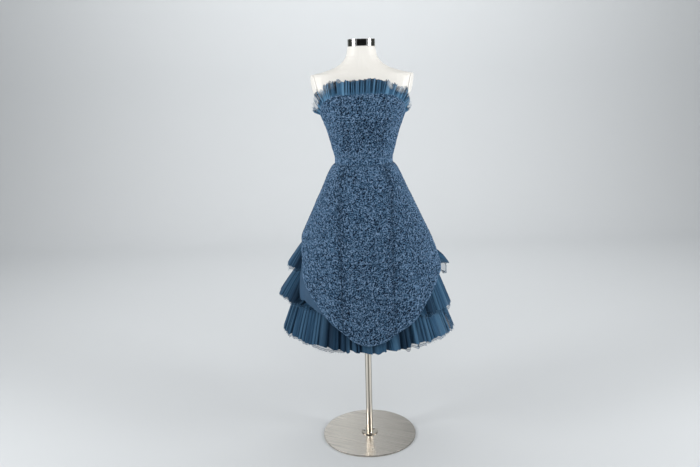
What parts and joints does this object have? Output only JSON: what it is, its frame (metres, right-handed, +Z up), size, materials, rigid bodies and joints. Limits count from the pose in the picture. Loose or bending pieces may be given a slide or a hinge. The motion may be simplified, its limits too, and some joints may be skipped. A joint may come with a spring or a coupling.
{
  "type": "strapless cocktail dress on a dress form",
  "caption": "Strapless dress with a petal overskirt over pleated ruffle tiers and a ruffled neckline, worn by a limbless dress form on a pole and a round base.",
  "frame": {"origin": "centre of the base plate's underside, on the floor under the pole", "axes": "+Z up along the pole, the dress's front faces -Y, +X is to the right of someone who looks at the front"},
  "size_m": [0.683, 0.5336, 1.5833],
  "materials": {
    "crinkle_cloth": "blistered crinkle cloth, mid blue with a grey-lilac bloom",
    "pleated_net": "stiff fine net, pleated, with raw edges",
    "plain_lining": "plain woven lining",
    "form_white": "white, satin",
    "chrome": "polished",
    "brushed_steel": "brushed in one direction"
  },
  "bodies": {
    "root": {"bodice_front_centre": "crinkle_cloth", "bodice_front_left": "crinkle_cloth", "bodice_front_right": "crinkle_cloth", "bodice_back_left": "crinkle_cloth", "bodice_back_right": "crinkle_cloth", "waistband": "crinkle_cloth", "overskirt_front_centre": "crinkle_cloth", "overskirt_front_left": "crinkle_cloth", "overskirt_front_right": "crinkle_cloth", "overskirt_back_left": "crinkle_cloth", "overskirt_back_right": "crinkle_cloth", "neck_ruffle": "pleated_net", "ruffle_tier_upper": "pleated_net", "ruffle_tier_middle": "pleated_net", "ruffle_tier_lower": "pleated_net", "underskirt_gore_1": "plain_lining", "underskirt_gore_2": "plain_lining", "underskirt_gore_3": "plain_lining", "underskirt_gore_4": "plain_lining", "underskirt_gore_5": "plain_lining", "underskirt_gore_6": "plain_lining", "underskirt_gore_7": "plain_lining", "underskirt_gore_8": "plain_lining", "petal_lining_strip": "plain_lining", "form_torso": "form_white", "arm_plate_left": "form_white", "arm_plate_right": "form_white", "neck_cap": "chrome", "flange_screw_1": "chrome", "flange_screw_2": "chrome", "flange_screw_3": "chrome", "base_plate": "brushed_steel", "base_flange": "brushed_steel", "pole": "brushed_steel"}
  },
  "joints": []
}
